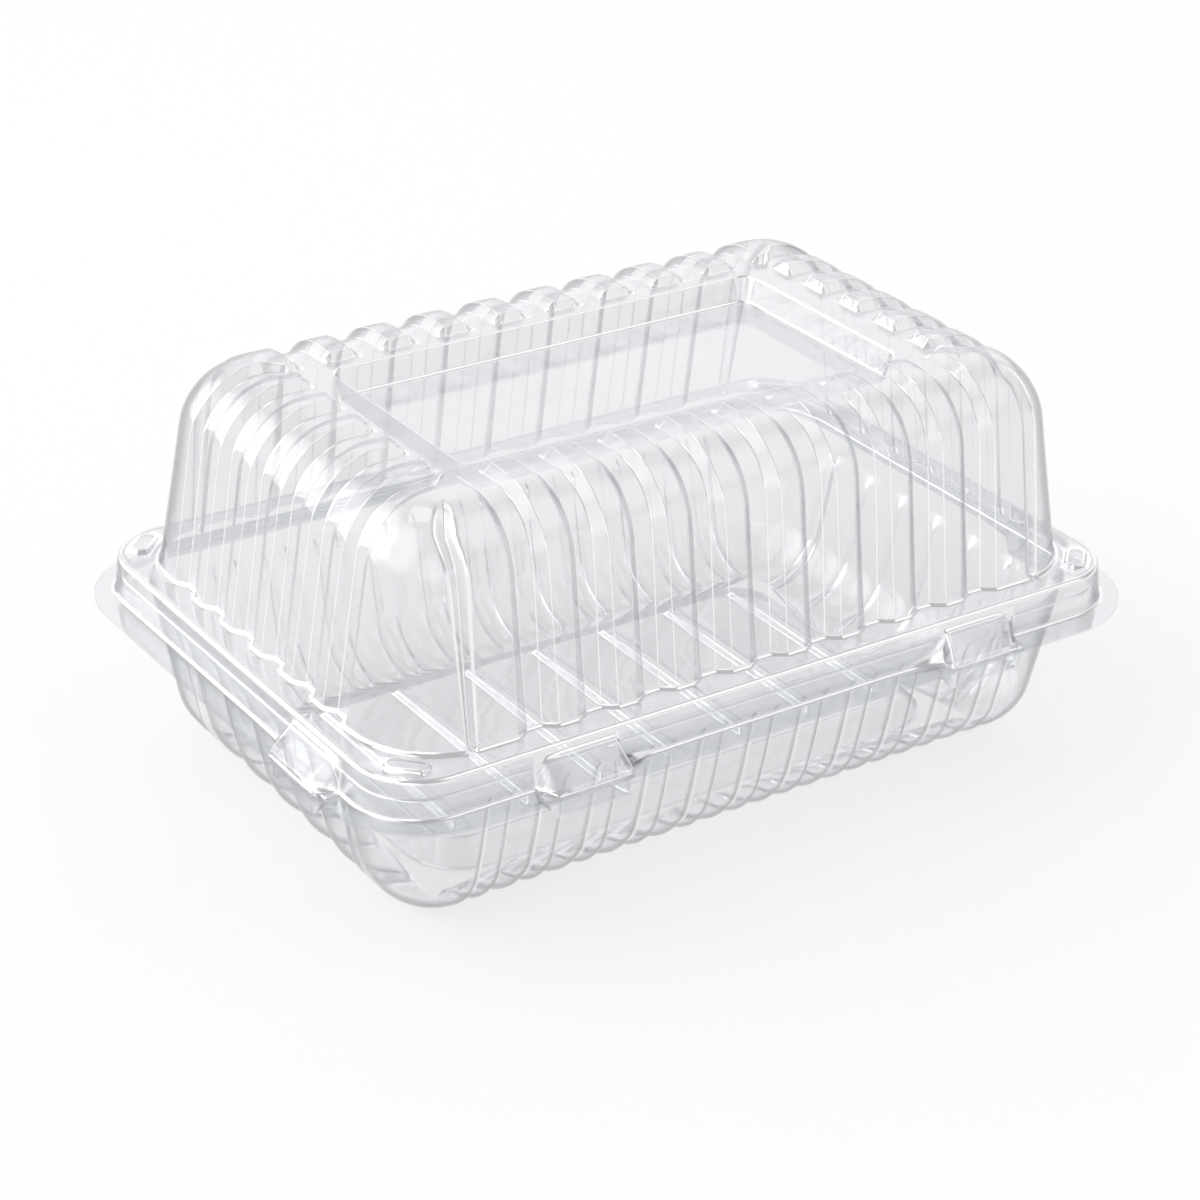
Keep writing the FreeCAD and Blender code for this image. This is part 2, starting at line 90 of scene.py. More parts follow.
# The window: its half sizes and corner, how deep it lies and how its sides lean.
WINDOW = (54.7, 27.5, 3.8)
WINDOW_SINK = 6.0
WINDOW_DRAFT = math.tan(math.radians(12))

# The studs on the ledge.
STUD = (85.6, 55.9)
STUD_HALF = 4.8
STUD_SIDE = 2.3

# The skirt and the lips.
SKIRT = (94.5, 64.3, 15.0)
SKIRT_DRAFT = math.tan(math.radians(6.5))
LIP = (100.0, 70.0, 24.0)
LIP_WIDTH = 5.6
CLIP_HALF = 9.5
CLIP_X = 51.0
CLIP_Y = -34.5
CLIP_RAMP = 2.2
CLIP_STEPS = (-1.3, -1.0, -0.7, -0.35, 0, 0.35, 0.7, 1.0, 1.3)

# The bowl: the half sizes of its rim, its bead, its flutes and its raised floor.
BOWL = (90.3, 60.1)
BEAD = 4.6
BOWL_LEAN = 7.5
BOWL_ROUND = 14.0
FLUTE_PITCH = 13.0
END_PITCH = 12.8
NARROW_FLUTE = 5.2
FLUTE_DEPTH = 1.25
NARROW_DEPTH = 0.95
CORNER_DEPTH = 1.1
TIGHTEST = 4.5
FLUTE_SHARES = (0.025, 0.07, 0.16, 0.28, 0.4, 0.5, 0.6, 0.72, 0.84, 0.93, 0.975)
FLOOR = (67.0, 36.8, 8.0)
FLOOR_RISE = 5.0

# The bars on the floor: their pitch, half width, flank, ease, rise and half length.
BAR_PITCH = 18.6
BAR = (1.1, 1.0, 0.4)
BAR_END = (27.0, 1.4, 0.4)
BAR_RISE = 1.6


# Profiles.

def rounded(points, closed=False):
    """A line through corner points (a, b, radius), with each corner turned by an arc."""
    out = []
    count = len(points)
    for i, (a, b, radius, *steps) in enumerate(points):
        steps = steps[0] if steps else 4
        if radius <= 0 or (not closed and i in (0, count - 1)):
            out.append((a, b))
            continue
        here = Vector((a, b))
        before = (Vector(points[i - 1][:2]) - here)
        after = (Vector(points[(i + 1) % count][:2]) - here)
        before.normalize()
        after.normalize()
        half = before.angle(after) / 2
        reach = radius / math.tan(half)
        middle = (before + after).normalized() * (radius / math.sin(half)) + here
        start = here + before * reach - middle
        sweep = start.angle_signed(here + after * reach - middle)
        for k in range(steps + 1):
            turn = -sweep * k / steps
            c, s = math.cos(turn), math.sin(turn)
            out.append((middle.x + start.x * c - start.y * s, middle.y + start.x * s + start.y * c))
    return out


def soft_step(q, width, run, ease):
    """1 inside a flat floor, 0 beyond its flank, with both bends eased."""
    def ramp(v):
        if v <= -ease:
            return 0.0
        if v >= ease:
            return v
        return (v + ease) ** 2 / (4 * ease)
    q = abs(q)
    return 1 - (ramp(q - width) - ramp(q - width - run)) / run


def groove_places(width, run, ease):
    """Places across half a groove, from its middle, where the surface bends."""
    return [0.0, width - ease, width - ease / 2, width, width + ease / 2, width + ease,
            width + run / 2, width + run - ease, width + run - ease / 2, width + run,
            width + run + ease / 2, width + run + ease]


def across_groove(centre, width, run, ease):
    """Places across a whole groove, from one side to the other."""
    half = groove_places(width, run, ease)
    return [centre - q for q in reversed(half[1:])] + [centre + q for q in half]


# Meshes.

def sheet_grid(bm, rows):
    """A grid of faces whose rows of vertices lie where they are told."""
    across = len(rows[0])
    made = bmesh.ops.create_grid(bm, x_segments=across - 1, y_segments=len(rows) - 1, size=1.0)
    order = sorted(made["verts"], key=lambda v: (round(v.co.y, 6), v.co.x))
    for i, row in enumerate(rows):
        for j, place in enumerate(row):
            order[i * across + j].co = place


def mirrored(bm, axis):
    """Adds the mirror image and joins it along the middle."""
    bmesh.ops.mirror(bm, geom=bm.verts[:] + bm.edges[:] + bm.faces[:], matrix=Matrix.Identity(4),
                     merge_dist=MERGE, axis=axis)
    bmesh.ops.remove_doubles(bm, verts=bm.verts[:], dist=MERGE)


def open_edges(bm, height):
    """The open edges that lie level at a height."""
    return [e for e in bm.edges if e.is_boundary
            and all(abs(v.co.z - height) < 1e-4 for v in e.verts)]


def flat_fill(bm, edges):
    """Fills a level face between open edges, holes and all."""
    bmesh.ops.triangle_fill(bm, use_beauty=True, use_dissolve=False, edges=edges)


def face_the_right_way(bm, is_known, direction):
    """Turns all faces to one side, and that side to where a known face looks."""
    bmesh.ops.recalc_face_normals(bm, faces=bm.faces[:])
    known = next(f for f in bm.faces if is_known(f.calc_center_median()))
    known.normal_update()
    if known.normal.dot(Vector(direction)) < 0:
        bmesh.ops.reverse_faces(bm, faces=bm.faces[:])


def mark_bends(bm, strength):
    """Stores how sharply the sheet turns at each vertex, from 0 on flats to 1 on tight bends, times
    strength: the mask of the painted highlight on the bends.
    """
    mild, tight = 0.15, 0.9
    bend = bm.verts.layers.float.new("bend")
    for e in bm.edges:
        if len(e.link_faces) != 2:
            continue
        across = sum(f.calc_area() for f in e.link_faces) / 2 / max(e.calc_length(), 1e-4)
        turn = e.calc_face_angle(0.0) / max(across, 0.02)
        share = min(max((turn - mild) / (tight - mild), 0), 1) * strength
        for v in e.verts:
            v[bend] = max(v[bend], share)


def finished_piece(bm, name, material, thickness, bend_strength):
    """Turns a shaped surface into a piece of sheet that stands in the scene, in metres."""
    bmesh.ops.dissolve_degenerate(bm, dist=0.002, edges=bm.edges[:])
    # Stores the mask of the painted highlight on the bends.
    mark_bends(bm, bend_strength)
    for f in bm.faces:
        f.smooth = True
    for e in bm.edges:
        if e.is_boundary:
            e.smooth = False
    bmesh.ops.translate(bm, vec=Vector((0, 0, PARTING)), verts=bm.verts[:])
    bmesh.ops.scale(bm, vec=Vector((MM, MM, MM)), verts=bm.verts[:])
    mesh = bpy.data.meshes.new(name)
    bm.to_mesh(mesh)
    bm.free()
    mesh.materials.append(material)
    piece = bpy.data.objects.new(name, mesh)
    bpy.context.scene.collection.objects.link(piece)
    wall = piece.modifiers.new("sheet", "SOLIDIFY")
    wall.thickness = thickness * MM
    wall.offset = -1.0
    wall.use_even_offset = False
    wall.use_quality_normals = True
    return piece


# The lid.

DOME_SLOPE = DOME_LEAN / (RIB_TOP - LEDGE)
DOME_TILT = math.atan(DOME_SLOPE)
DOME_CENTRE_Z = RIB_TOP - DOME_ROUND
DOME_REACH = (RIB_TOP - LEDGE - DOME_ROUND) * DOME_SLOPE + DOME_ROUND / math.cos(DOME_TILT)
DOME_CORE = (DOME[0] - DOME_REACH, DOME[1] - DOME_REACH)


def dome_corner(out):
    """The corner radius of the dome's outline where it stands out from its core."""
    if out <= CORNER_START:
        return PLAN_CORNER + out
    room = FOOT_CORNER - PLAN_CORNER - CORNER_START
    return FOOT_CORNER - room * math.exp(-(out - CORNER_START) / room)


def dome_rows():
    """Each row: half sizes and corner of its outline, height, the way in, groove depth, fall."""
    rows = []
    valley = RIB_TOP - RIB_HEIGHT
    floor = valley - WINDOW_SINK
    lean = WINDOW_SINK * WINDOW_DRAFT
    for o, z in rounded([(-lean - 1.3, floor, 0), (-lean, floor, 0.8),
                         (0, valley, 0.65), (1.3, valley, 0)]):
        rows.append((WINDOW[0] + o, WINDOW[1] + o, WINDOW[2] + o * 0.6, z, 0, 1, 0.0, 0.0))
    rib_end = rounded([(-0.9, 0, 0), (0, 0, 0.25), (RIB_END_RUN, RIB_HEIGHT, 0.25),
                       (2.4, RIB_HEIGHT, 0)])
    for o, rise in rib_end:
        rows.append((RIB_END[0] + o, RIB_END[1] + o, RIB_END[2], valley + rise, 0, 1, rise, 0.0))
    inset = 0.5
    rows.append((DOME_CORE[0] - inset, DOME_CORE[1] - inset, PLAN_CORNER - inset, RIB_TOP, 0, 1,
                 RIB_HEIGHT, 0.0))
    steps = 13
    shoulder_fall = 0.45
    for k in range(steps + 1):
        a = math.pi / 2 + (DOME_TILT - math.pi / 2) * k / steps
        d = DOME_ROUND * math.cos(a)
        z = DOME_CENTRE_Z + DOME_ROUND * math.sin(a)
        rows.append((DOME_CORE[0] + d, DOME_CORE[1] + d, dome_corner(d), z, math.cos(a),
                     math.sin(a), RIB_HEIGHT, shoulder_fall * k / steps))
    top = rows[-1]
    d0, z0 = top[0] - DOME_CORE[0], top[3]
    foot = rounded([(d0, z0, 0), (DOME_REACH, LEDGE, 1.1), (DOME_REACH + 2.0, LEDGE, 0)])
    levels = 7
    for k in range(1, levels):
        share = k / levels
        d = d0 + (foot[1][0] - d0) * share
        z = z0 + (foot[1][1] - z0) * share
        rows.append((DOME_CORE[0] + d, DOME_CORE[1] + d, dome_corner(d), z, math.cos(DOME_TILT),
                     math.sin(DOME_TILT) * (1 - share), RIB_HEIGHT,
                     shoulder_fall + (1 - shoulder_fall) * share))
    for d, z in foot[1:-1] + [(foot[-2][0] + 0.5, LEDGE)]:
        rows.append((DOME_CORE[0] + d, DOME_CORE[1] + d, dome_corner(d), z, 1, 0, RIB_HEIGHT, 1.0))
    return rows


def squeezed(place, straight, last, knee):
    """Keeps a place where there is room for the last one, and squeezes those past the knee if not."""
    if straight >= last or place <= min(knee, straight):
        return place
    return knee + (place - knee) * (straight - knee) / (last - knee)


def groove_size(groove, fall):
    """Half the floor of a groove and the run of its flank, part of the way down the wall."""
    return [top + change * fall for top, change in groove]


def dome_station(row):
    """The places of one row round a quarter of the dome, from the front to the side."""
    half_x, half_y, corner, height, out, up, depth, fall = row
    straight_x = half_x - corner
    straight_y = half_y - corner
    places = []

    def put(x, y, dx, dy, sunk):
        r = corner - out * depth * sunk
        places.append(Vector((x + dx * r, y + dy * r, height - up * depth * sunk)))

    # The front: half a groove, four whole grooves and the wide panel.
    width, run = groove_size(FRONT_GROOVE, fall)
    for k in range(5):
        centre = LONG_PITCH * k
        for x in across_groove(centre, width, run, EASE):
            if x > -1e-6:
                sunk = soft_step(x - centre, width, run, EASE)
                place = squeezed(max(x, 0), straight_x, LAST_GROOVE_X, LAST_RIB_X)
                put(place, -straight_y, 0, -1, sunk)
        if k < 4:
            middle = squeezed(centre + LONG_PITCH / 2, straight_x, LAST_GROOVE_X, LAST_RIB_X)
            put(middle, -straight_y, 0, -1, 0)
    put(straight_x, -straight_y, 0, -1, 0)

    # The corner, with its pleat.
    pleat_depth = min(max((corner - 6.5) / 5, 0), 1)
    pleat_half = (2.3 - 1.3 * fall) / max(corner, 11)
    pleat_angle = math.asin(min(max((PLEAT_X - straight_x) / corner, 0.1), 0.45))
    start = pleat_angle - pleat_half * PLEAT_REACH
    for share in (1 / 3, 2 / 3):
        put(straight_x, -straight_y, math.sin(start * share), -math.cos(start * share), 0)
    for k in (-1.45, -1.2, -1, -0.8, -0.5, -0.28, -0.14, 0, 0.14, 0.28, 0.5, 0.8, 1, 1.2, 1.45):
        a = pleat_angle + pleat_half * k
        sunk = soft_step(k, 0.02, 0.98, 0.2) * pleat_depth
        put(straight_x, -straight_y, math.sin(a), -math.cos(a), sunk)
    end = pleat_angle + pleat_half * PLEAT_REACH

    # The side: two and a half grooves, of which the first ends beside the corner.
    side = []
    width, run = groove_size(SIDE_GROOVE, fall)
    for k in range(3):
        centre = SHORT_PITCH * (2.5 - k)
        for y in reversed(across_groove(centre, width, run, EASE)):
            side.append((y, soft_step(y - centre, width, run, EASE)))
        if k < 2:
            side.append((centre - SHORT_PITCH / 2, 0))
    side.append((0.0, 0))
    turns = 9
    for k in range(1, turns):
        a = end + (math.pi / 2 - end) * k / turns
        put(straight_x, -straight_y, math.sin(a), -math.cos(a), 0)
    put(straight_x, -straight_y, 1, 0, 0)
    knee = min(LAST_RIB_Y, straight_y - 1.0)
    for y, sunk in side:
        put(straight_x, -squeezed(y, straight_y, LAST_GROOVE_Y, knee), 1, 0, sunk)
    return places


def around(half_x, half_y, corner, columns):
    """Places on a rounded outline for columns that run from the front to the back."""
    sx = half_x - corner
    sy = half_y - corner
    places = []
    for side, value in columns:
        if side == "front":
            places.append((value * sx, -half_y))
        elif side == "near":
            places.append((sx + corner * math.sin(value), -sy - corner * math.cos(value)))
        elif side == "end":
            places.append((half_x, value * sy))
        elif side == "far":
            places.append((sx + corner * math.cos(value), sy + corner * math.sin(value)))
        else:
            places.append((value * sx, half_y))
    return places


def clip_share(distance, half):
    """1 on a clip and 0 beside it, with short steep ends."""
    ramp = (half - abs(distance)) / CLIP_RAMP + 0.5
    ramp = min(max(ramp, 0), 1)
    return ramp * ramp * (3 - 2 * ramp)


def rim_columns():
    """Columns from the middle of the front, round the right end, to the middle of the back."""
    sx = (SKIRT[0] + LIP[0]) / 2 - (SKIRT[2] + LIP[2]) / 2
    sy = (SKIRT[1] + LIP[1]) / 2 - (SKIRT[2] + LIP[2]) / 2
    front = [0, 8, 16, 24, 32]
    front += [CLIP_X - CLIP_HALF + s for s in CLIP_STEPS] + [45, 48, 51, 54, 57]
    front += [CLIP_X + CLIP_HALF + s for s in CLIP_STEPS] + [66]
    end = [CLIP_Y - CLIP_HALF + s for s in CLIP_STEPS] + [-40.5, -37.5, -34.5, -31.5, -28.5]
    end += [CLIP_Y + CLIP_HALF + s for s in CLIP_STEPS] + [-18, -9, 0, 9, 18, 27, 36]
    columns = [("front", x / sx) for x in front] + [("front", 1.0)]
    columns += [("near", math.pi / 2 * k / 16) for k in range(1, 16)] + [("end", -1.0)]
    columns += [("end", y / sy) for y in end if abs(y) < sy - 0.3] + [("end", 1.0)]
    columns += [("far", math.pi / 2 * k / 16) for k in range(1, 16)]
    columns += [("back", k / 8) for k in range(8, -1, -1)]
    return columns


def rim_piece(bm, plain, clip, base, lip):
    """A ring of sheet that follows one profile beside its clips and another on them."""
    columns = rim_columns()
    rows = []
    for (k1, z1), (k2, z2) in zip(plain, clip):
        row = []
        outlines = []
        for k in (k1, k2):
            size = [b + (l - b) * max(k, 0) + min(k, 0) for b, l in zip(base, lip)]
            outlines.append(around(size[0], size[1], size[2], columns))
        for (side, value), (xa, ya), (xb, yb) in zip(columns, *outlines):
            share = 0.0
            if side == "front":
                share = clip_share(xa - CLIP_X, CLIP_HALF)
            elif side == "end":
                share = clip_share(ya - CLIP_Y, CLIP_HALF)
            elif side == "near":
                share = clip_share(ya - CLIP_Y, CLIP_HALF) if value > math.pi / 4 else 0.0
            row.append(Vector((xa + (xb - xa) * share, ya + (yb - ya) * share,
                               z1 + (z2 - z1) * share)))
        row[0].x = 0.0
        row[-1].x = 0.0
        rows.append(row)
    sheet_grid(bm, rows)


def with_points(line, count):
    """The same line with as many points as asked: the closest go, or the longest steps are cut."""
    line = list(line)
    while len(line) > count:
        gaps = [(math.dist(line[i - 1], line[i + 1]), i) for i in range(1, len(line) - 1)]
        del line[min(gaps)[1]]
    while len(line) < count:
        gaps = [(math.dist(line[i], line[i + 1]), i) for i in range(len(line) - 1)]
        i = max(gaps)[1]
        line.insert(i + 1, ((line[i][0] + line[i + 1][0]) / 2, (line[i][1] + line[i + 1][1]) / 2))
    return line


def lip_shares(line):
    """The places of a profile: as they are inside the skirt, and as shares of the lip outside it."""
    return [(k if k < 0 else k / LIP_WIDTH, z) for k, z in line]


def add_rim(bm, plain, clip):
    """Adds the rim of one half of the pack: its skirt, its lip and the forms at its clips."""
    rim = bmesh.new()
    rim_piece(rim, plain, clip, SKIRT, LIP)
    mirrored(rim, "X")
    scratch = bpy.data.meshes.new("rim")
    rim.to_mesh(scratch)
    rim.free()
    bm.from_mesh(scratch)
    bpy.data.meshes.remove(scratch)


def stud_rings(bm, sign_x, sign_y):
    """A long hexagonal stud pressed up out of the ledge."""
    shoulder = STUD_HALF - STUD_SIDE / 2
    rings = []
    for grow, rise in ((0.3, 0), (0.2, 0.06), (0.04, 0.24), (-0.14, 0.62), (-0.34, 0.88),
                       (-0.56, 0.98), (-0.9, 1.0)):
        h, s = STUD_HALF + grow * 1.1, STUD_SIDE + grow
        corners = [(h, 0), (shoulder + grow * 0.6, s), (-shoulder - grow * 0.6, s), (-h, 0),
                   (-shoulder - grow * 0.6, -s), (shoulder + grow * 0.6, -s)]
        ring = []
        for u, v in rounded([(a, b, 0.8 + max(grow, 0), 3) for a, b in corners], closed=True):
            x = STUD[0] + (u + v) / math.sqrt(2)
            y = STUD[1] + (v - u) / math.sqrt(2)
            ring.append(Vector((x * sign_x, y * sign_y, LEDGE + rise)))
        rings.append(ring + ring[:1])
    sheet_grid(bm, rings)


def build_lid(material):
    """The lid in one surface: dome, window, ledge with studs, skirt, clips and lip."""
    bm = bmesh.new()
    sheet_grid(bm, [dome_station(row) for row in dome_rows()])
    mirrored(bm, "X")
    mirrored(bm, "Y")
    floor = open_edges(bm, RIB_TOP - RIB_HEIGHT - WINDOW_SINK)
    bmesh.ops.contextual_create(bm, geom=floor)

    lift = SKIRT_DRAFT
    top = LEDGE
    face = SHEET + LIP_GAP
    plain = rounded([(-top * lift - 1.3, top, 0), (-top * lift, top, 1.1),
                     (-6.9 * lift, 6.9, 0), (-5.0 * lift, 5.0, 0), (-3.0 * lift, 3.0, 0),
                     (-2.0 * lift, 2.0, 0)])
    plain += rounded([(-2.0 * lift, 2.0, 0), (0.0, face, 0.8), (1.6, face, 0)])[1:-1]
    plain = lip_shares(plain)
    plain += [(share, face) for share in (0.3, 0.5, 0.72, 0.78, 0.86, 1.0)]
    shared = 7
    ramp = rounded([(-6.9 * lift, 6.9, 0), (0.12, 6.6, 0.5), (4.35, 1.45, 0.35), (4.55, face, 0.3),
                    (LIP_WIDTH, face, 0)])
    ramp = with_points(ramp, len(plain) - shared + 1)
    add_rim(bm, plain, plain[:shared] + lip_shares(ramp[1:]))
    for sign_x in (-1, 1):
        for sign_y in (-1, 1):
            stud_rings(bm, sign_x, sign_y)
    bmesh.ops.remove_doubles(bm, verts=bm.verts[:], dist=MERGE)
    flat_fill(bm, open_edges(bm, LEDGE))
    stud_tops = [e for e in bm.edges if e.is_boundary and e.verts[0].co.z > LEDGE + 0.5]
    bmesh.ops.holes_fill(bm, edges=stud_tops, sides=0)
    face_the_right_way(bm, lambda c: abs(c.z - LEDGE) < 1e-4 and abs(c.x) < 60, (0, 0, 1))
    return finished_piece(bm, "lid_sheet", material, SHEET, LID_PAINTED_BEND_HIGHLIGHT)


# The tray.

BOWL_SLOPE = BOWL_LEAN / (PARTING + BEAD)
BOWL_TILT = math.atan(BOWL_SLOPE)
BOWL_CENTRE_Z = -PARTING + BOWL_ROUND
BOWL_REACH = (PARTING + BEAD - BOWL_ROUND) * BOWL_SLOPE + BOWL_ROUND / math.cos(BOWL_TILT)
BOWL_CORE = (BOWL[0] - BOWL_REACH, BOWL[1] - BOWL_REACH)


def bowl_rows():
    """Rows from the raised floor, under the foot, and up the outside to the bead."""
    rows = []
    base = -PARTING
    floor = base + FLOOR_RISE
    turn = rounded([(-0.75, floor, 0), (0, floor, 1.5), (FLOOR_RISE, base, 1.5),
                    (FLOOR_RISE + 1.6, base, 0)])
    for o, z in turn:
        rows.append((FLOOR[0] - FLOOR_RISE + o, FLOOR[1] - FLOOR_RISE + o, FLOOR[2] + o, z,
                     0, -1, 0.0))
    steps = 12
    for k in range(steps + 1):
        a = -math.pi / 2 + (math.pi / 2 - BOWL_TILT) * k / steps
        d = BOWL_ROUND * math.cos(a)
        z = BOWL_CENTRE_Z + BOWL_ROUND * math.sin(a)
        fade = min(1.3, 0.8 + k * 0.2)
        rows.append((BOWL_CORE[0] + d, BOWL_CORE[1] + d, PLAN_CORNER + d, z, math.cos(a), math.sin(a),
                     fade))
    d0, z0 = rows[-1][0] - BOWL_CORE[0], rows[-1][3]
    top = BEAD - SHEET - LIP_GAP
    for z, depth in ((-17, 1), (-13, 1), (-9, 1), (-6, 1), (-4.4, 0.92), (-3.4, 0.7), (-2.6, 0.36),
                     (-2.0, 0.1), (-1.4, 0.0), (0.6, 0.0)):
        d = d0 + (z - z0) * BOWL_SLOPE
        rows.append((BOWL_CORE[0] + d, BOWL_CORE[1] + d, PLAN_CORNER + d, z, 1, 0, depth))
    d_top = d0 + (top - z0) * BOWL_SLOPE
    d_low = d0 + (2.0 - z0) * BOWL_SLOPE
    for d, z in rounded([(d_low, 2.0, 0), (d_top, top, 0.7), (d_top + 0.7, top, 0)]):
        rows.append((BOWL_CORE[0] + d, BOWL_CORE[1] + d, PLAN_CORNER + d, z, 1, 0, 0.0))
    return rows


def lobe(share, depth):
    """How far a convex flute lies inside the wall, at a place between its two creases."""
    return depth * (2 * share - 1) ** 2


def bowl_station(row):
    """The places of one row round a quarter of the bowl, from the front to the side."""
    half_x, half_y, corner, height, out, up, fade = row
    straight_x = half_x - corner
    straight_y = half_y - corner
    core_x = BOWL_CORE[0] - PLAN_CORNER
    core_y = BOWL_CORE[1] - PLAN_CORNER
    places = []

    def put(x, y, dx, dy, sunk):
        r = corner - out * fade * sunk
        places.append(Vector((x + dx * r, y + dy * r, height - up * fade * sunk)))

    narrow = NARROW_FLUTE / 2
    creases = []
    for k in range(6):
        creases += [FLUTE_PITCH * k - narrow, FLUTE_PITCH * k + narrow]
    crease_share = 0.86
    front = []
    for a, b in zip(creases, creases[1:]):
        deep = FLUTE_DEPTH if b - a > NARROW_FLUTE + 0.8 else NARROW_DEPTH
        front.append((a, deep * crease_share))
        front += [(a + (b - a) * s, lobe(s, deep)) for s in FLUTE_SHARES]
    front.append((creases[-1], 1.0))
    front += [(creases[-1] + s * 2.4, lobe(s / 2, CORNER_DEPTH)) for s in (0.08, 0.25, 0.5, 0.8, 1.0)]
    for x, sunk in front:
        if x > -1e-6 and x < core_x + 6:
            if x <= core_x:
                put(max(x, 0) * straight_x / core_x, -straight_y, 0, -1, sunk)
            else:
                a = math.atan((x - core_x) / max(corner, TIGHTEST))
                put(straight_x, -straight_y, math.sin(a), -math.cos(a), sunk)
    last = front[-1][0]
    begin = math.atan(max(last - core_x, 0) / max(corner, TIGHTEST)) if last > core_x else 0.0

    side = []
    creases = [END_PITCH * (2.5 - k) for k in range(6)]
    side.append((creases[0] + 4.0, 0.0))
    side += [(creases[0] + s, lobe(0.5 - s / 8, CORNER_DEPTH)) for s in (3.0, 2.0, 1.0, 0.4)]
    for a, b in zip(creases[:3], creases[1:4]):
        side.append((a, 1.08))
        side += [(a + (b - a) * s, lobe(s, FLUTE_DEPTH)) for s in FLUTE_SHARES]
    side = [(y, sunk) for y, sunk in side if y > -1e-6]
    if side[-1][0] > 1e-6:
        side.append((0.0, 0.0))
    first = math.atan(max(side[0][0] - core_y, 0) / max(corner, TIGHTEST))
    gap = math.pi / 2 - first - begin
    for k in range(1, 15):
        a = begin + gap * k / 15
        put(straight_x, -straight_y, math.sin(a), -math.cos(a), 0)
    for y, sunk in side:
        if y > core_y:
            a = math.atan((y - core_y) / max(corner, TIGHTEST))
            put(straight_x, -straight_y, math.cos(a), -math.sin(a), sunk)
        else:
            put(straight_x, -max(y, 0) * straight_y / core_y, 1, 0, sunk)
    return places


def floor_grid(bm):
    """The raised floor, with its bars pressed up along the depth."""
    base = -PARTING + FLOOR_RISE
    xs = {0.0, 58.5}
    for k in range(4):
        for x in across_groove(BAR_PITCH * k, *BAR):
            if x > -1e-6:
                xs.add(round(max(x, 0), 4))
    xs = sorted(xs)
    ys = [0.0, 6.0, 12.0, 18.0, 24.0, 26.6, 27.0, 27.4, 27.8, 28.2, 28.6, 29.0]
    rows = []
    for y in ys:
        row = []
        for x in xs:
            across = max(soft_step(x - BAR_PITCH * k, *BAR) for k in range(4))
            along = soft_step(y, *BAR_END)
            row.append(Vector((x, -y, base + BAR_RISE * min(across, along))))
        rows.append(row)
    for row in rows:
        row[-1].z = base
    sheet_grid(bm, rows)


def build_tray(material):
    """The tray in one surface: floor with bars, fluted bowl, bead, cups and lip."""
    bm = bmesh.new()
    sheet_grid(bm, [bowl_station(row) for row in bowl_rows()])
    floor_grid(bm)
    mirrored(bm, "X")
    mirrored(bm, "Y")

    top = BEAD - SHEET - LIP_GAP
    low = -SHEET - LIP_GAP
    inner = -0.8 - SHEET
    plain = rounded([(inner - 0.5 - 1.4, top, 0), (inner - top * SKIRT_DRAFT, top, 0.6),
                     (inner, low, 0.7), (1.2, low, 0)])
    plain = lip_shares(plain[:-1])
    plain += [(share, low) for share in (0.1, 0.2, 0.35, 0.5, 0.62, 0.72, 0.8, 0.86, 1.0)]
    shared = 6
    cup = -5.0
    bottom = rounded([plain[shared - 1] + (0,), (inner + 0.15, cup, 0.8), (4.3, cup, 0.8),
                      (4.45, low, 0.3), (LIP_WIDTH, low, 0)])
    bottom = with_points(bottom, len(plain) - shared + 1)
    add_rim(bm, plain, plain[:shared] + lip_shares(bottom[1:]))
    bmesh.ops.remove_doubles(bm, verts=bm.verts[:], dist=MERGE)
    flat_fill(bm, open_edges(bm, top))
    flat_fill(bm, open_edges(bm, -PARTING + FLOOR_RISE))
    face_the_right_way(bm, lambda c: abs(c.z - top) < 1e-4, (0, 0, -1))
    return finished_piece(bm, "tray_sheet", material, SHEET, TRAY_PAINTED_BEND_HIGHLIGHT)


# The fold.

def build_fold(material):
    """The strip of sheet that bends round from one lip to the other."""
    bm = bmesh.new()
    rows = []
    reach = SHEET + LIP_GAP
    for k in range(9):
        a = math.pi / 2 - math.pi * k / 8
        y = LIP[1] - 0.42 + 0.4 * math.cos(a)
        z = reach * math.sin(a)
        rows.append([Vector((x, y, z)) for x in (0.0, 30.0, 60.0, 76.0)])
    sheet_grid(bm, rows)
    mirrored(bm, "X")
    face_the_right_way(bm, lambda c: abs(c.z) < 0.2, (0, 1, 0))
    return finished_piece(bm, "film_fold", material, FOLD_SHEET, FOLD_PAINTED_BEND_HIGHLIGHT)


# Finishes.

def math_node(tree, operation, first, second):
    """A Math node whose inputs are sockets or numbers."""
    node = tree.nodes.new("ShaderNodeMath")
    node.operation = operation
    for socket, value in zip(node.inputs, (first, second)):
        if isinstance(value, (int, float)):
            socket.default_value = value
        else:
            tree.links.new(value, socket)
    return node.outputs[0]


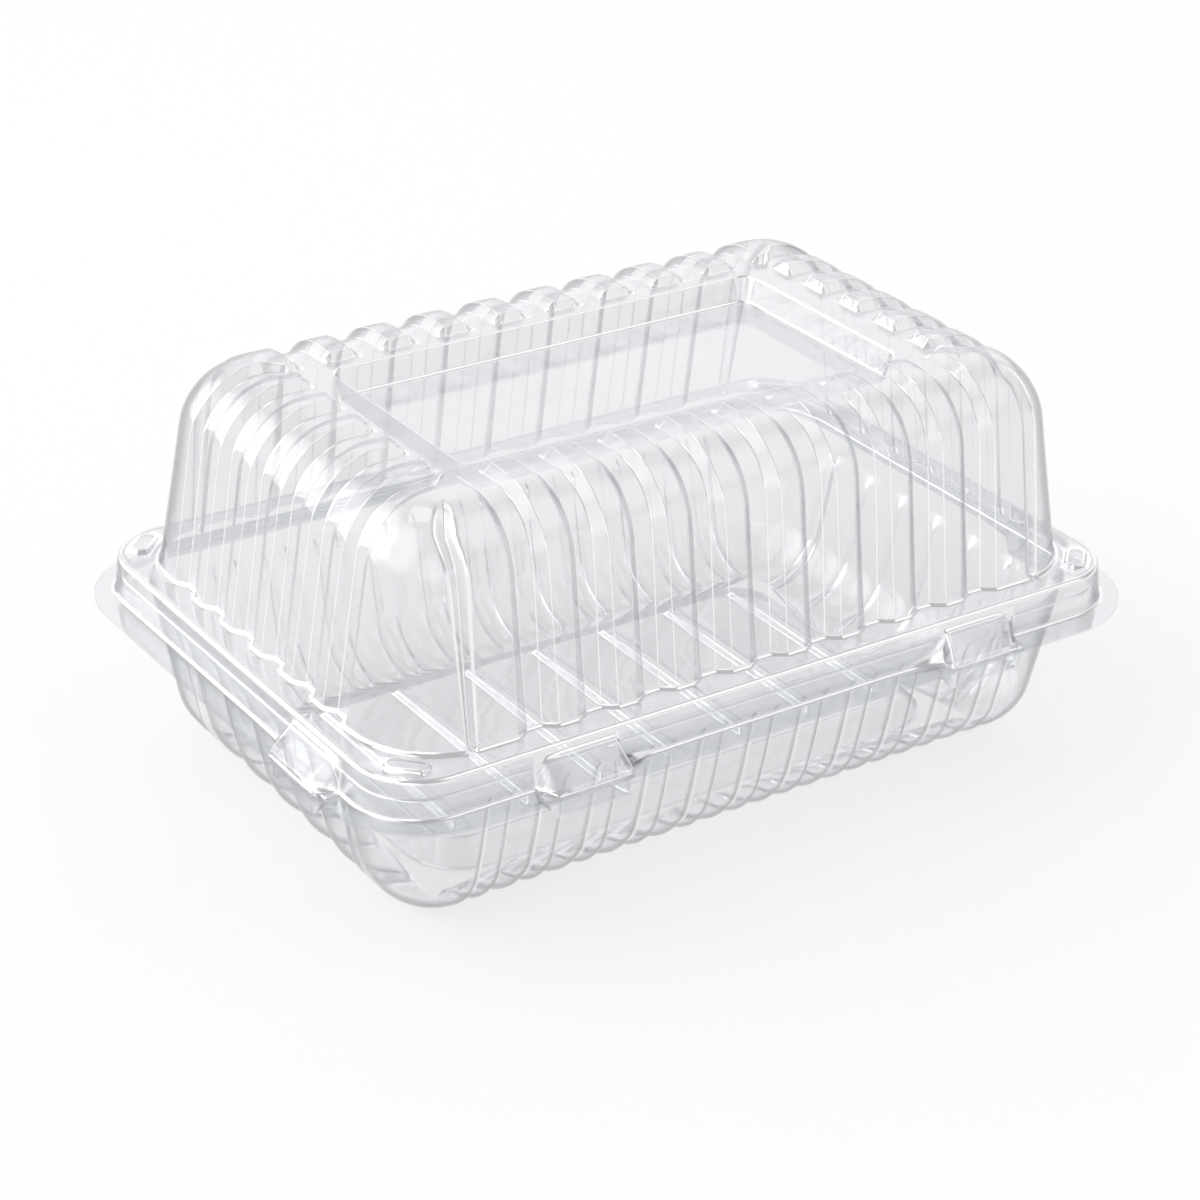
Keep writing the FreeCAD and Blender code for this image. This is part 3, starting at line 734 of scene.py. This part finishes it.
def clear_sheet():
    """Clear sheet: straight see-through, glossier and darker at a slant, with a painted highlight on
    its bends.
    """
    material = bpy.data.materials.new("clear_formed_sheet")
    material.use_nodes = True
    tree = material.node_tree
    nodes = tree.nodes
    links = tree.links
    nodes.clear()
    out = nodes.new("ShaderNodeOutputMaterial")

    facing = nodes.new("ShaderNodeLayerWeight")
    facing.inputs["Blend"].default_value = 0.5
    slant = nodes.new("ShaderNodeMapRange")
    slant.interpolation_type = "SMOOTHSTEP"
    slant.inputs["From Min"].default_value = 0.5
    slant.inputs["From Max"].default_value = 1.0
    links.new(facing.outputs["Facing"], slant.inputs["Value"])
    tone = nodes.new("ShaderNodeMix")
    tone.data_type = "RGBA"
    tone.inputs["A"].default_value = (0.949, 0.9515, 0.955, 1)
    tone.inputs["B"].default_value = (0.6, 0.607, 0.62, 1)
    links.new(slant.outputs["Result"], tone.inputs["Factor"])
    clear = nodes.new("ShaderNodeBsdfTransparent")
    links.new(tone.outputs["Result"], clear.inputs["Color"])

    places = nodes.new("ShaderNodeTexCoord")
    ripple = nodes.new("ShaderNodeTexNoise")
    ripple.inputs["Scale"].default_value = 70.0
    ripple.inputs["Detail"].default_value = 2.0
    links.new(places.outputs["Object"], ripple.inputs["Vector"])
    wave = nodes.new("ShaderNodeBump")
    wave.inputs["Strength"].default_value = 0.25
    wave.inputs["Distance"].default_value = 0.0006
    links.new(ripple.outputs["Fac"], wave.inputs["Height"])
    gloss = nodes.new("ShaderNodeBsdfPrincipled")
    gloss.inputs["Base Color"].default_value = (0.98, 0.98, 0.985, 1)
    gloss.inputs["Metallic"].default_value = 1.0
    gloss.inputs["Roughness"].default_value = 0.0
    links.new(wave.outputs["Normal"], gloss.inputs["Normal"])

    bend = nodes.new("ShaderNodeAttribute")
    bend.attribute_name = "bend"
    power = math_node(tree, "POWER", facing.outputs["Facing"], 4.0)
    edge_on = math_node(tree, "MULTIPLY_ADD", power, 0.7)
    edge_on.node.inputs[2].default_value = 0.055
    # Painted highlight: the stored bends raise the mirror share, so the creases show as bright lines.
    painted_bend_glint = math_node(tree, "MULTIPLY", bend.outputs["Fac"], 0.7)
    mirror = math_node(tree, "MAXIMUM", edge_on, painted_bend_glint)
    body = nodes.new("ShaderNodeMixShader")
    links.new(mirror, body.inputs["Fac"])
    links.new(clear.outputs["BSDF"], body.inputs[1])
    links.new(gloss.outputs["BSDF"], body.inputs[2])
    links.new(body.outputs["Shader"], out.inputs["Surface"])
    return material


def floor_finish():
    """Pale matt paper that keeps the pack's shadow and looks near white through the sheet."""
    material = bpy.data.materials.new("pale_floor")
    material.use_nodes = True
    tree = material.node_tree
    nodes = tree.nodes
    links = tree.links
    nodes.clear()
    out = nodes.new("ShaderNodeOutputMaterial")
    matt = nodes.new("ShaderNodeBsdfDiffuse")
    matt.inputs["Color"].default_value = (0.9, 0.9, 0.9, 1)
    white = nodes.new("ShaderNodeEmission")
    white.inputs["Color"].default_value = (1, 1, 1, 1)
    path = nodes.new("ShaderNodeLightPath")
    seen = math_node(tree, "MAXIMUM", path.outputs["Is Camera Ray"],
                     path.outputs["Is Transmission Ray"])
    seen = math_node(tree, "MAXIMUM", seen, path.outputs["Is Glossy Ray"])
    share = math_node(tree, "MULTIPLY", seen, 0.6)
    mix = nodes.new("ShaderNodeMixShader")
    links.new(share, mix.inputs["Fac"])
    links.new(matt.outputs["BSDF"], mix.inputs[1])
    links.new(white.outputs["Emission"], mix.inputs[2])
    links.new(mix.outputs["Shader"], out.inputs["Surface"])
    return material


# Soft lights round the room: where each lies, the cosines of its rim and its middle, its strength.
SOFT_LIGHTS = [
    ((-0.58, 0.73, 0.35), 0.82, 1.0, 2.2),
    ((-0.80, 0.12, 0.57), 0.80, 1.0, 1.8),
    ((-0.62, -0.64, 0.40), 0.92, 1.0, 1.0),
    ((0.51, -0.43, 0.74), 0.88, 0.995, 0.8),
    ((0.51, 0.73, 0.46), 0.78, 0.97, 0.8),
]


def studio_world():
    """White to the camera; to the sheet, a white backdrop, a darker ceiling and soft lights."""
    world = bpy.data.worlds.new("studio")
    bpy.context.scene.world = world
    world.use_nodes = True
    nodes = world.node_tree.nodes
    links = world.node_tree.links
    nodes.clear()
    out = nodes.new("ShaderNodeOutputWorld")
    seen = nodes.new("ShaderNodeBackground")
    seen.inputs["Color"].default_value = (1, 1, 1, 1)
    room = nodes.new("ShaderNodeBackground")
    coords = nodes.new("ShaderNodeTexCoord")
    split = nodes.new("ShaderNodeSeparateXYZ")
    links.new(coords.outputs["Generated"], split.inputs[0])
    height = nodes.new("ShaderNodeValToRGB")
    ramp = height.color_ramp
    ramp.elements[0].position = 0.0
    ramp.elements[0].color = (0.95, 0.95, 0.95, 1)
    ramp.elements[1].position = 1.0
    ramp.elements[1].color = (0.5, 0.5, 0.51, 1)
    for place, tone in ((0.30, 0.95), (0.42, 0.5), (0.7, 0.45)):
        step = ramp.elements.new(place)
        step.color = (tone, tone, tone * 1.02, 1)
    links.new(split.outputs["Z"], height.inputs["Fac"])
    glow = None
    for direction, edge, core, strength in SOFT_LIGHTS:
        toward = nodes.new("ShaderNodeVectorMath")
        toward.operation = "DOT_PRODUCT"
        links.new(coords.outputs["Generated"], toward.inputs[0])
        toward.inputs[1].default_value = Vector(direction).normalized()
        share = nodes.new("ShaderNodeMapRange")
        share.interpolation_type = "SMOOTHSTEP"
        share.inputs["From Min"].default_value = edge
        share.inputs["From Max"].default_value = core
        share.inputs["To Max"].default_value = strength
        links.new(toward.outputs["Value"], share.inputs["Value"])
        if glow is None:
            glow = share.outputs[0]
        else:
            glow = math_node(world.node_tree, "ADD", glow, share.outputs[0])
    both = nodes.new("ShaderNodeMix")
    both.data_type = "RGBA"
    both.blend_type = "ADD"
    both.inputs["Factor"].default_value = 1.0
    links.new(height.outputs["Color"], both.inputs["A"])
    links.new(glow, both.inputs["B"])
    links.new(both.outputs["Result"], room.inputs["Color"])
    path = nodes.new("ShaderNodeLightPath")
    mix = nodes.new("ShaderNodeMixShader")
    links.new(path.outputs["Is Camera Ray"], mix.inputs["Fac"])
    links.new(room.outputs["Background"], mix.inputs[1])
    links.new(seen.outputs["Background"], mix.inputs[2])
    links.new(mix.outputs["Shader"], out.inputs["Surface"])


def soft_lamp(name, place, aim, size, power):
    """A square lamp that gives the floor its soft shadow."""
    data = bpy.data.lights.new(name, "AREA")
    data.shape = "SQUARE"
    data.size = size
    data.energy = power
    lamp = bpy.data.objects.new(name, data)
    bpy.context.scene.collection.objects.link(lamp)
    lamp.location = place
    lamp.rotation_euler = (Vector(aim) - Vector(place)).to_track_quat("-Z", "Y").to_euler()


def floor_plane():
    """The floor the pack stands on."""
    bm = bmesh.new()
    bmesh.ops.create_grid(bm, x_segments=1, y_segments=1, size=3.0)
    mesh = bpy.data.meshes.new("floor")
    bm.to_mesh(mesh)
    bm.free()
    mesh.materials.append(floor_finish())
    floor = bpy.data.objects.new("floor", mesh)
    bpy.context.scene.collection.objects.link(floor)


def look_through_camera():
    """The camera that was fitted to the edges seen in the picture."""
    azimuth = math.radians(-34.99)
    elevation = math.radians(27.28)
    roll = math.radians(1.74)
    distance = 0.6883
    focal_px, image_px = 3119.12, 1200
    centre_px = (610.43, 588.49)
    back = Vector((math.sin(azimuth) * math.cos(elevation), -math.cos(azimuth) * math.cos(elevation),
                   math.sin(elevation)))
    level = Vector((math.cos(azimuth), math.sin(azimuth), 0))
    rise = back.cross(level)
    right = level * math.cos(roll) + rise * math.sin(roll)
    up = rise * math.cos(roll) - level * math.sin(roll)
    data = bpy.data.cameras.new("camera")
    data.sensor_width = 36.0
    data.lens = focal_px / image_px * data.sensor_width
    data.shift_x = -(centre_px[0] / image_px - 0.5)
    data.shift_y = centre_px[1] / image_px - 0.5
    data.clip_start = 0.01
    camera = bpy.data.objects.new("camera", data)
    bpy.context.scene.collection.objects.link(camera)
    turn = Matrix((right, up, back)).transposed().to_4x4()
    camera.matrix_world = Matrix.Translation(back * distance + Vector((0, 0, PARTING * MM))) @ turn
    bpy.context.scene.camera = camera


sheet = clear_sheet()
lid = build_lid(sheet)
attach(lid, "lid")
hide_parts("lid")
tray = build_tray(sheet)
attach(tray, "tray")
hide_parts("tray")
fold = build_fold(sheet)
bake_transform(fold)

floor_plane()
studio_world()
soft_lamp("top_softbox", (-0.25, 0.35, 1.2), aim=(0, 0, 0.05), size=0.5, power=1.0)
look_through_camera()

scene = bpy.context.scene
scene.view_settings.view_transform = "Standard"
scene.cycles.max_bounces = 6
scene.cycles.transmission_bounces = 4
scene.cycles.glossy_bounces = 3
scene.cycles.transparent_max_bounces = 32
